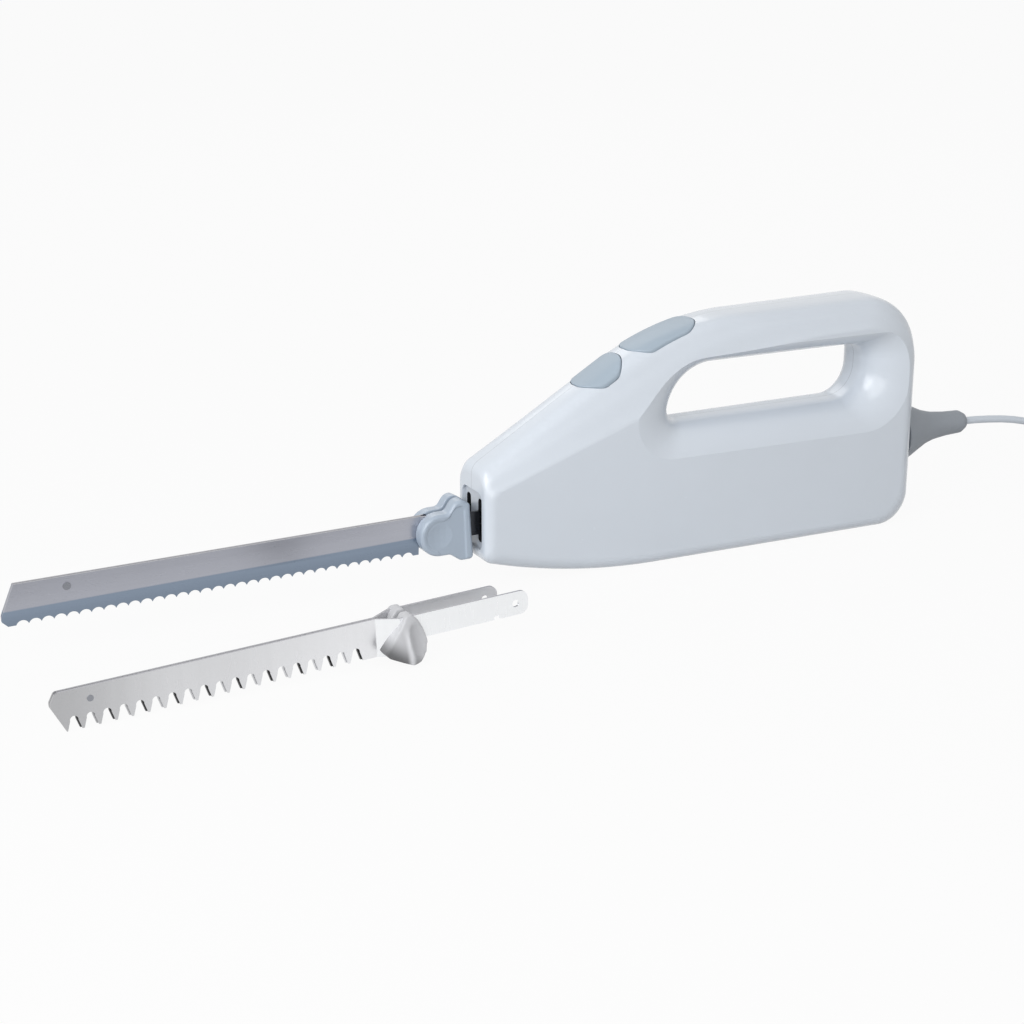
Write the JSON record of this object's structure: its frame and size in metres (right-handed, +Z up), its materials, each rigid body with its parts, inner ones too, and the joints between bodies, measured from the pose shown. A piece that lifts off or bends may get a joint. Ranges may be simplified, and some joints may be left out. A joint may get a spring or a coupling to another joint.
{
  "type": "electric carving knife",
  "caption": "Electric carving knife with a loop handle, paired serrated sliding blades with finger guards, a mains cord and a spare pair of deep-toothed blades.",
  "frame": {"origin": "centre of the flat base that the knife stands on, on the mid-plane between the shells", "axes": "+X along the knife towards the cord, -X towards the blade tip, +Z up, -Y the side seen in the picture"},
  "size_m": [0.6895, 0.1131, 0.1227],
  "materials": {
    "housing_white": "smooth glossy moulding",
    "zinc_steel": "zinc plated",
    "button_grey": "satin pale blue-grey",
    "spring_steel": "drawn wire",
    "frame_plastic": "glass-filled black moulding",
    "gear_nylon": "natural nylon",
    "bearing_bronze": "sintered bronze",
    "lamination": "stacked laminations",
    "copper_wire": "varnished copper winding",
    "fan_plastic": "moulded fan",
    "carbon": "pressed carbon",
    "capacitor_yellow": "dipped film capacitor",
    "blade_steel": "finely brushed, darker ground bevel",
    "guard_grey": "satin blue-grey moulding",
    "spare_steel": "bright brushed",
    "spare_knob": "satin pale grey",
    "boot_grey": "soft grey moulding",
    "cord_grey": "pale grey sheath",
    "plug_grey": "moulded pale grey",
    "pin_brass": "nickel plated brass"
  },
  "bodies": {
    "housing": {"shell_left": "housing_white", "shell_right": "housing_white", "nose_plate": "housing_white", "housing_screws": "zinc_steel", "power_spring": "spring_steel", "release_spring": "spring_steel", "switch_body": "frame_plastic", "wheel_axle": "zinc_steel", "gear_frame": "frame_plastic", "front_bearing": "bearing_bronze", "rear_bearing": "bearing_bronze", "stator_core": "lamination", "field_coils": "copper_wire", "front_bracket": "frame_plastic", "rear_bracket": "frame_plastic", "motor_bolts": "zinc_steel", "carbon_brushes": "carbon", "brush_holders": "bearing_bronze", "suppressor_capacitor": "capacitor_yellow", "cord_boot": "boot_grey", "cord_clamp": "frame_plastic", "cord_inlet": "cord_grey", "cord_lead": "cord_grey", "cord_coil": "cord_grey", "cord_tail": "cord_grey", "cord_tie": "boot_grey", "plug_body": "plug_grey", "plug_pins": "pin_brass"},
    "rotor": {"motor_shaft": "zinc_steel", "armature_core": "lamination", "armature_winding": "copper_wire", "commutator": "copper_wire", "cooling_fan": "fan_plastic", "worm": "zinc_steel"},
    "wheel": {"worm_wheel": "gear_nylon", "crank_discs": "gear_nylon"},
    "drive_left": {"drive_bar_left": "zinc_steel", "blade_left": "blade_steel", "guard_left": "guard_grey", "tip_rivet": "zinc_steel"},
    "drive_right": {"drive_bar_right": "zinc_steel", "blade_right": "blade_steel", "guard_right": "guard_grey"},
    "latch_left": {"latch_left": "spring_steel"},
    "latch_right": {"latch_right": "spring_steel"},
    "power_button": {"power_button": "button_grey"},
    "switch_plunger": {"switch_plunger": "gear_nylon"},
    "release_button": {"release_button": "button_grey"},
    "spare_left": {"spare_blade_left": "spare_steel", "spare_guard_left": "spare_knob", "spare_rivet": "zinc_steel"},
    "spare_right": {"spare_blade_right": "spare_steel", "spare_guard_right": "spare_knob"}
  },
  "joints": [
    {"name": "motor_spin", "type": "hinge", "parent": "housing", "child": "rotor", "pos_m": [0, 0, 0.027], "axis": [1, 0, 0], "continuous": true},
    {"name": "wheel_spin", "type": "hinge", "parent": "housing", "child": "wheel", "pos_m": [-0.078, 0, 0.048], "axis": [0, 1, 0], "continuous": true},
    {"name": "left_stroke", "type": "slide", "parent": "housing", "child": "drive_left", "axis": [1, 0, 0], "range_m": [-0.0024, 0.0024]},
    {"name": "right_stroke", "type": "slide", "parent": "housing", "child": "drive_right", "axis": [1, 0, 0], "range_m": [-0.0024, 0.0024]},
    {"name": "release_press", "type": "slide", "parent": "housing", "child": "release_button", "axis": [0.5241, 0, -0.8517], "range_m": [0, 0.003], "stiffness_N_per_m": 400, "springref_m": -0.002, "deforming": ["release_spring"]},
    {"name": "latch_left_slide", "type": "slide", "parent": "drive_left", "child": "latch_left", "axis": [0, -1, 0], "range_m": [0, 0.0016]},
    {"name": "latch_right_slide", "type": "slide", "parent": "drive_right", "child": "latch_right", "axis": [0, 1, 0], "range_m": [0, 0.0016]},
    {"name": "power_press", "type": "slide", "parent": "housing", "child": "power_button", "axis": [0.2977, 0, -0.9547], "range_m": [0, 0.003], "stiffness_N_per_m": 400, "springref_m": -0.002, "deforming": ["power_spring"]},
    {"name": "plunger_press", "type": "slide", "parent": "housing", "child": "switch_plunger", "axis": [0.2977, 0, -0.9547], "range_m": [0, 0.003]},
    {"name": "spare_lift", "type": "slide", "parent": "housing", "child": "spare_left", "axis": [0, 0, 1], "range_m": [0, 0.05]},
    {"name": "spare_stroke", "type": "slide", "parent": "spare_left", "child": "spare_right", "axis": [0.9987, 0.0314, 0.0391], "range_m": [-0.008, 0.008]}
  ],
  "couplings": [
    {"joint": "wheel_spin", "follows": "motor_spin", "ratio": 0.03125},
    {"joint": "right_stroke", "follows": "left_stroke", "ratio": -1},
    {"joint": "latch_left_slide", "follows": "release_press", "ratio": 0.53333},
    {"joint": "latch_right_slide", "follows": "release_press", "ratio": 0.53333},
    {"joint": "plunger_press", "follows": "power_press", "ratio": 1}
  ]
}
